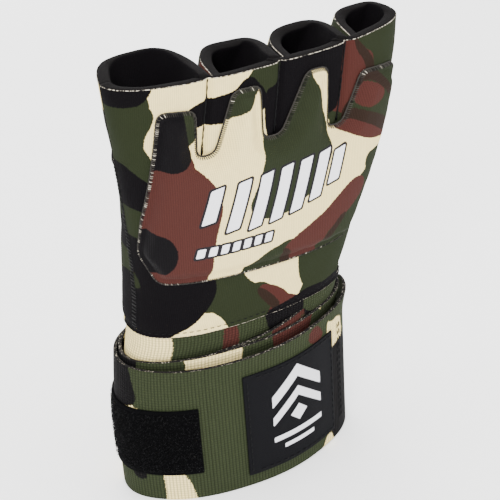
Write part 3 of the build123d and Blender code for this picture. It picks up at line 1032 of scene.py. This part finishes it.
def stitch_pad_edge():
    """Overlock threads over the pad's edge, some of them pale, and a cord of thread along it."""
    line = evenly(pad_edge, OVERLOCK_PITCH)
    tangent = unit(np.roll(line, -1, 0) - np.roll(line, 1, 0))
    inward = columns(-tangent[:, 1], tangent[:, 0])
    if distance(line[:1] + inward[:1], pad_edge)[0] > 0:
        inward = -inward
    paths, tones = [], []
    for p, t, n in zip(line, tangent, inward):
        paths.append(over_edge(p, n, (-0.35, -0.1, 0.2, 0.5, 0.8), 0.4, t, (0.04, 0.34, 0.24, 0.16, 0.0)))
        pale = 0.34 if p[0] < -36 or (p[1] < 85 and p[0] < 8) else 0.03
        tones.append(rng.uniform(0.3, 0.9) if rng.random() < pale else rng.uniform(0, 0.10))
    edge_run = np.vstack([over_edge(p, n, (-0.2 + 0.1 * (k % 2),), 0, t, (0.30,))
                          for k, (p, t, n) in enumerate(zip(line, tangent, inward))])
    paths.append(np.vstack([edge_run, edge_run[:1]]))
    tones.append(0.05)
    radii = [SEAM_THREAD] * (len(paths) - 1) + [0.3]
    return thread_runs("pad_overlock", paths, radii, OVERLOCK, 5, tones)


pad_cover = build_pad()
pad_stitches = stitch_pad_edge()

# ---- seams of the sleeve ----

def on(surface, u, v, lift):
    """Points at a height over a surface."""
    u, v = np.atleast_1d(u).astype(float), np.atleast_1d(v).astype(float)
    return surface.points(u, v) + surface.normal(u, v) * np.asarray(lift, float).reshape(-1, 1)


def front_uv(x, z):
    """(u, v) on the back panel of points seen from the front."""
    v = (np.asarray(z, float) - CUFF_TOP) / (RIM - CUFF_TOP)
    u = []
    for a, b in zip(np.atleast_1d(x), np.atleast_1d(v)):
        row = back.table[int(round(np.clip(b, 0, 1) * (ROWS - 1)))]
        u.append(np.interp(a, row[:, 0], np.linspace(0, 1, len(row))))
    return np.array(u), np.atleast_1d(v)


def divider_cord_and_crease_shadow(a, b, name):
    """One unbroken dark cord that dips and rises along a sewn line between two fingers: partly the seam's thread,
    partly painted shadow in the crease.
    """
    a, b = np.array(a, float), np.array(b, float)
    length = np.linalg.norm(b - a)
    t = np.linspace(0.6, length - 1.6, 90) / length
    p = a + (b - a) * t[:, None]
    u, v = front_uv(p[:, 0], p[:, 1])
    lift = 0.10 + 0.10 * np.sin(t * length * math.pi / 1.25)
    return thread_runs(name, [on(back, u, v, lift)], DIVIDER_CORD_AND_SHADOW, BLACK_THREAD)


# Each divider's dark cord is the seam's thread and painted shadow in its crease, in one piece.
divider_names = ["divider_seam_little_ring", "divider_seam_ring_middle", "divider_seam_middle_index"]
divider_cords_and_shadows = [divider_cord_and_crease_shadow(a, b, name.replace("seam", "stitches"))
                  for (a, b), name in zip(DIVIDERS, divider_names)]


def flatlock(side, low, high, name):
    """Zigzag over a side seam, from the back panel to the palm panel."""
    u = 0.0 if side < 0 else 1.0
    inward = 1 if side < 0 else -1
    paths = []
    for k, z in enumerate(np.arange(low, high, OVERLOCK_PITCH)):
        vb, vp = (z - CUFF_TOP) / (RIM - CUFF_TOP), (z - CUFF_TOP) / (LOOP_BASE - CUFF_TOP)
        rise = 0.5 * (k % 2) / (RIM - CUFF_TOP)
        reach_b, reach_p = inward * 1.2 / back.width, inward * 1.2 / palm.width
        paths.append(np.vstack([
            on(back, u + reach_b, vb, 0.0), on(back, u + reach_b * 0.5, vb + rise * 0.5, 0.14),
            on(back, u, vb + rise, 0.18), on(palm, u + reach_p * 0.5, vp + rise, 0.14),
            on(palm, u + reach_p, vp + rise * 1.4, 0.02),
        ]))
    return thread_runs(name, paths, SEAM_THREAD, BLACK_THREAD, 5, [rng.uniform(0, 1) for _ in paths])


left_flatlock = flatlock(-1, CUFF_TOP + 1.5, LOOP_BASE - 0.5, "side_flatlock_little_finger")
right_flatlock = flatlock(1, THUMB_Z + THUMB_HEIGHT + 1.0, LOOP_BASE - 0.5, "side_flatlock_thumb")


def cuff_stitches():
    """Running stitches round the sleeve's lower edge."""
    paths = []
    for surface, top in ((back, RIM), (palm, LOOP_BASE)):
        v = 1.6 / (top - CUFF_TOP)
        for start in np.arange(1.0, surface.width - 2.2, RUN_PITCH):
            u = np.linspace(start, start + RUN_LENGTH, len(RUN_RISE)) / surface.width
            paths.append(on(surface, u, np.full(len(u), v), RUN_RISE))
    return thread_runs("cuff_stitches", paths, FINE_THREAD, BLACK_THREAD, 5)


def loop_stitches():
    """Overlocking where the loops are sewn to the palm panel's top edge."""
    row = palm.table[-4]
    paths = []
    for surface in loops.values():
        for u in np.arange(0.5, surface.width - 0.5, 1.25) / surface.width:
            p = on(surface, u, 0.06, 0.1)[0]
            near = np.argmin(np.hypot(row[:, 0] - p[0], row[:, 1] - p[1]))
            gap = np.hypot(row[near, 0] - p[0], row[near, 1] - p[1])
            if gap < 2.6 and p[1] > SEAM_Y:
                q = near / (len(row) - 1)
                paths.append(np.vstack([on(palm, q, 0.972, 0.0), on(palm, q, 0.99, 0.3),
                                        on(surface, u, 0.01, 0.34), on(surface, u, 0.07, 0.02)]))
    return thread_runs("loop_stitches", paths, LOOP_THREAD, BLACK_THREAD, 5, [rng.uniform(0, 1) for _ in paths])


cuff_seam = cuff_stitches()
loop_seam = loop_stitches()

# ---- cuff ----

CUFF_REACH = CUFF_TOP + 2.0      # it goes on a little way under the sleeve
WRIST_MIDDLE = (0, 0, 35)


def cuff_line(z):
    """The cuff at one height, closed: its own oval low down, the inside of the sleeve at the top."""
    q = np.linspace(0, 1, 721)
    a = 0.5 * math.pi + q * 2 * math.pi
    ring = np.roll(section(max(z, CUFF_TOP), -0.75, 721)[:-1], -180, axis=0)
    tucked = 1 - 0.028 * np.clip(-np.cos(a), 0, 1) ** 2
    low = along(columns(CUFF_A * np.cos(a) * tucked, CUFF_B * np.sin(a)), q)
    t = ease((z - 46.0) / 14.0)
    return low * (1 - t) + along(np.vstack([ring, ring[:1]]), q) * t


def cuff_surface():
    table = loft(cuff_line, np.linspace(CUFF_BOTTOM, CUFF_REACH, 61))
    slack = 0.125 * smooth_noise(table, 25, 5) * np.clip((table[..., 2] - 50) / 5, 0, 1)
    return oriented(table, WRIST_MIDDLE).grown(slack)


cuff = cuff_surface()


def cuff_place(u, v):
    return columns(cuff.sample(cuff.across, u, v), CUFF_BOTTOM + v * (CUFF_REACH - CUFF_BOTTOM), 0)


cuff_piece = cloth("cuff_elastic", cuff, ELASTIC, [STRETCH, SELVAGE, CORD_EDGE, STRETCH], CUFF_PRINT, 1.0,
                   bulge=0.2, trim=(0.0, 0.2), place=cuff_place)

# ---- strap ----

TURNS = np.linspace(0, STRAP_START, 3321)


def strap_gap(turn):
    """The strap's gap to the cuff."""
    return np.interp(turn, *np.array(STRAP_COURSE).T)


def strap_rise(turn):
    """How far the strap's upper edge stands above its place in a level winding."""
    knots, values = np.array(STRAP_RISE, float).T
    spread = [np.interp(turn + d, knots, values) for d in (-30, -15, 0, 15, 30)]
    return np.mean(spread, axis=0)


def strap_at(turn, outward, z):
    """Points on the wound strap; z is measured up the strap itself."""
    a = np.radians(-turn)
    uneven = 0.22 * np.sin(3 * a + 1.0) + 0.14 * np.sin(5 * a + 2.0) + 0.10 * np.sin(8 * a)
    gap = strap_gap(turn) + outward + uneven
    taper = 1 - 0.016 * (1 - z / STRAP_WIDTH)
    tuck = np.clip((z - 22) / 28, 0, 1) ** 1.5
    taper = taper * (1 - np.clip(-np.cos(a), 0, 1) ** 2 * tuck * (0.028 + 0.008 * gap))
    rise = strap_rise(turn) * (0.15 + 0.85 * np.clip(z / STRAP_WIDTH, 0, 1) ** 4)
    rise += 0.35 * np.sin(turn / 23.0) * np.clip((turn - 180) / 60, 0, 1)
    # The sleeve widens above the wrist, and the turns that stand high lean out with it.
    lean = ease((z + rise - 44) / 16)
    x = ((CUFF_A + gap) * taper + 3.4 * lean * np.clip(np.cos(a), 0, 1) ** 2) * np.cos(a)
    y = ((CUFF_B + gap) * taper + 2.2 * lean * np.clip(-np.sin(a), 0, 1)) * np.sin(a)
    return columns(x, y, z + rise)


STRAP_LENGTHS = lengths(strap_at(TURNS, ELASTIC, MID_STRAP))


def strap_arc(turn):
    """Length along the strap from its free tip."""
    return np.interp(turn, TURNS, STRAP_LENGTHS)


def band(name, turn_from, turn_to, outward, thickness, low, high, materials, drawing=None, step=0.9,
         trim=(0.0, 0.2), bulge=0.22, origin=(0, 0), backward=False, extra=None):
    """A strip that follows the strap, with outward the place of its inner face.

    Its weave is measured from origin, which is a place (along, up) on the strap.
    """
    cols = max(24, round((turn_to - turn_from) * 1.2))
    turns, heights = np.linspace(turn_from, turn_to, cols), np.linspace(low, high, 26)
    surface = oriented(strap_at(turns, outward + thickness, heights[:, None]), WRIST_MIDDLE)

    def place(u, v):
        x = strap_arc(turn_from + u * (turn_to - turn_from)) - origin[0]
        return columns(-x if backward else x, low - origin[1] + v * (high - low), 0)

    return cloth(name, surface, thickness, materials, drawing, step, bulge=bulge, trim=trim, place=place, extra=extra)


def elastic(name, turn_from, turn_to, step):
    """A length of the strap itself."""
    return band(name, turn_from, turn_to, 0, ELASTIC, 0, STRAP_WIDTH, BAND_SET, STRAP_PRINT, step)


wound = elastic("strap_wound_elastic", FOLD_FROM, STRAP_START, 1.0)
end = elastic("strap_end_elastic", TAB_FROM, FOLD_FROM, 0.9)
tab = elastic("pull_tab_elastic", 0.4, TAB_FROM, 0.9)
tape = band("loop_tape_pile", TAPE_FROM, TAPE_TO, ELASTIC, TAPE, TAPE_LOW, TAPE_LOW + TAPE_WIDTH,
            [PILE, PILE, CORD_EDGE, PILE], trim=(0.2, 0.2), bulge=0.3, origin=(0, TAPE_LOW))
hook = band("hook_tape_hooks", HOOK_FROM, HOOK_TO, -TAPE - 0.06, TAPE, HOOK_LOW, HOOK_LOW + TAPE_WIDTH,
            [HOOKS] * 4, trim=(0.2, 0.2))

# The label's emblem: chevrons, a diamond and bars, from the label's middle.
EMBLEM = [
    [(-10.5, 4.0), (0, 12.2), (10.5, 4.0), (10.5, 8.4), (0, 16.8), (-10.5, 8.4)],
    [(-10.5, -3.2), (0, 5.0), (10.5, -3.2), (10.5, 0.2), (0, 8.6), (-10.5, 0.2)],
    [(0, 1.6), (3.6, -1.6), (0, -4.8), (-3.6, -1.6)],
    [(-10.5, -7.6), (10.5, -7.6), (10.5, -9.6), (-10.5, -9.6)],
    [(-6.5, -11.6), (6.5, -11.6), (6.5, -13.2), (-6.5, -13.2)],
]


def emblem_field(weave):
    return nearest(weave[:, :2], [np.array(shape, float) for shape in EMBLEM])


label_middle = (strap_arc((LABEL_FROM + LABEL_TO) / 2), LABEL_LOW + LABEL_HEIGHT / 2)
label = band("label_twill_patch", LABEL_FROM, LABEL_TO, ELASTIC + 0.05, 0.65, LABEL_LOW, LABEL_LOW + LABEL_HEIGHT,
             [TWILL] * 4, step=0.45, trim=(0.3, 0.3), bulge=0.3, origin=label_middle, backward=True,
             extra={"emblem": emblem_field})


def tape_fuzz():
    """Small standing loops over the part of the loop tape that shows."""
    paths = []
    for _ in range(7000):
        turn, z = rng.uniform(121.5, 300), rng.uniform(11.8, 34.4)
        a = rng.uniform(0, 2 * math.pi)
        d = rng.uniform(0.25, 0.6)
        high = rng.uniform(0.25, 0.75)
        dz, dt = d * math.sin(a), d * math.cos(a) / 0.75
        spots = [(0, -0.05), (0.3, high * 0.8), (0.65, high), (1.0, high * 0.35)]
        paths.append([strap_at(turn + dt * k, ELASTIC + TAPE + h, z + dz * k) for k, h in spots])
    return thread_runs("loop_tape_fuzz", paths, 0.055, PILE_THREAD, 3, [rng.uniform(0, 1) ** 3 for _ in paths])


fuzz = tape_fuzz()


def strap_stitches(name, rows, outward):
    """Running stitches on the strap; each row is a pair of (turn, z) ends."""
    paths = []
    for (t0, z0), (t1, z1) in rows:
        straight = strap_at(t1, outward, z1) - strap_at(t0, outward, z0)
        length = np.linalg.norm(straight) if t0 == t1 else abs(strap_arc(t1) - strap_arc(t0))
        for start in np.arange(0.2, length - 2.2, 2.6):
            f = np.linspace(start, start + RUN_LENGTH, 5) / length
            paths.append([strap_at(t0 + (t1 - t0) * k, outward + h, z0 + (z1 - z0) * k)
                          for k, h in zip(f, (-0.12, 0.12, 0.17, 0.12, -0.12))])
    return thread_runs(name, paths, STRAP_THREAD, BLACK_THREAD, 5)


def upright(turns, low, high):
    """Rows of stitches straight up the strap."""
    return [((turn, low), (turn, high)) for turn in turns]


l0, l1, b0, b1 = LABEL_FROM + 1.6, LABEL_TO - 1.8, LABEL_LOW + 1.3, LABEL_LOW + LABEL_HEIGHT - 1.3
label_rows = [((l0, b0), (l1, b0)), ((l0, b1), (l1, b1))] + upright((l0, l1), b0, b1)
label_seam = strap_stitches("label_border_stitches", label_rows, ELASTIC + 0.7)
hem_rows = upright((4.6, 6.4), 3, 47) + upright((36, 38.5), 6, 44)
hem_seam = strap_stitches("pull_tab_hem_stitches", hem_rows, ELASTIC)
anchor_seam = strap_stitches("strap_anchor_bartacks", upright((821.5, 824, 826.5), 14, 46), -ELASTIC - 0.35)

# ---- bodies, and the CAD parts that the pieces stand for ----

# Each piece with its body, its slot and the CAD nodes that it stands for.
HELD = [
    (back_panel, "glove", "neoprene", "back_panel"), (palm_panel, "glove", "neoprene", "palm_panel"),
    (pad_cover, "glove", "pad_fabric", "pad_cover", "gel_insert"),
    (pad_stitches, "glove", "thread", "pad_edge_stitching"),
    (left_flatlock, "glove", "thread", "side_seam_little_finger"),
    (right_flatlock, "glove", "thread", "side_seam_thumb"),
    (cuff_seam, "glove", "thread", "cuff_seam"), (loop_seam, "glove", "thread"),
    (cuff_piece, "glove", "elastic", "cuff_band"), (anchor_seam, "glove", "thread", "strap_anchor_stitches"),
    (wound, "glove", "elastic", "strap_wound"), (tape, "glove", "loop_tape", "loop_tape"), (fuzz, "glove", "loop_tape"),
    (hook, "strap_end", "hook_tape", "hook_tape"), (label, "strap_end", "label", "label_patch"),
    (label_seam, "strap_end", "thread", "label_stitching"), (hem_seam, "pull_tab", "thread", "pull_tab_hem_stitching"),
]
HELD += [(obj, "glove", "neoprene", f"finger_loop_{name}") for name, obj in loop_pieces.items()]
HELD += [(obj, "glove", "thread", name) for obj, name in zip(divider_cords_and_shadows, divider_names)]
for obj, body, slot, *nodes in HELD:
    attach(obj, body)
    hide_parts(*nodes)


def strap_spot(turn):
    """A place in the middle of the strap, in metres."""
    return tuple(strap_at(turn, ELASTIC / 2, MID_STRAP) * MM)


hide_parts("strap_end")
strap_spot(FOLD_FROM)
strap_spot(FOLD_TO)
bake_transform(end)
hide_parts("pull_tab")
strap_spot(TAB_FROM)
strap_spot(TAB_TO)
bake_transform(tab)


# ---- stage, camera and light ----

def build_stage():
    n = Nodes("pale_floor")
    n.finish(n.mix(n.noise(n.place(), 8.0), (0.93, 0.93, 0.93), (0.95, 0.95, 0.95)))
    n.shader.inputs["Emission Color"].default_value = (1, 1, 1, 1)
    n.shader.inputs["Emission Strength"].default_value = 0.6
    bpy.ops.mesh.primitive_plane_add(size=8.0, location=(0, 0, 0))
    floor = bpy.context.object
    floor.name = "floor"
    floor.data.materials.append(n.material)


def add_light(name, location, size, power):
    target = Vector((0, 0, 0.07))
    data = bpy.data.lights.new(name, "AREA")
    data.shape, data.size, data.energy = "DISK", size, power
    obj = bpy.data.objects.new(name, data)
    obj.location = location
    obj.rotation_euler = (target - Vector(location)).to_track_quat("-Z", "Y").to_euler()
    bpy.context.scene.collection.objects.link(obj)


build_stage()
add_light("key", (-0.60, -0.80, 0.85), 0.50, 17.0)
add_light("fill", (0.80, -0.60, 0.45), 0.70, 6.0)
add_light("top", (0.05, 0.10, 1.10), 0.80, 11.0)
add_light("rear", (0.20, 0.85, 0.50), 0.70, 7.0)
world = bpy.data.worlds.new("studio")
bpy.context.scene.world = world
world.use_nodes = True
background = world.node_tree.nodes["Background"]
background.inputs["Color"].default_value = (1, 1, 1, 1)
background.inputs["Strength"].default_value = 1.25

camera = bpy.data.objects.new("camera", bpy.data.cameras.new("camera"))
bpy.context.scene.collection.objects.link(camera)
camera.data.sensor_width, camera.data.lens = 36.0, 107.85
camera.data.clip_start, camera.data.clip_end = 0.01, 20.0
# The camera's axes and its place in metres.
VIEW_RIGHT, VIEW_UP = (0.86708, -0.49383, -0.06560), (0.28836, 0.39016, 0.87443)
VIEW_AHEAD, VIEW_FROM = (0.40623, 0.77712, -0.48070), (-0.18906, -0.38338, 0.31095)
camera.matrix_world = Matrix([
    (VIEW_RIGHT[k], VIEW_UP[k], -VIEW_AHEAD[k], VIEW_FROM[k]) for k in range(3)
] + [(0, 0, 0, 1)])
bpy.context.scene.camera = camera
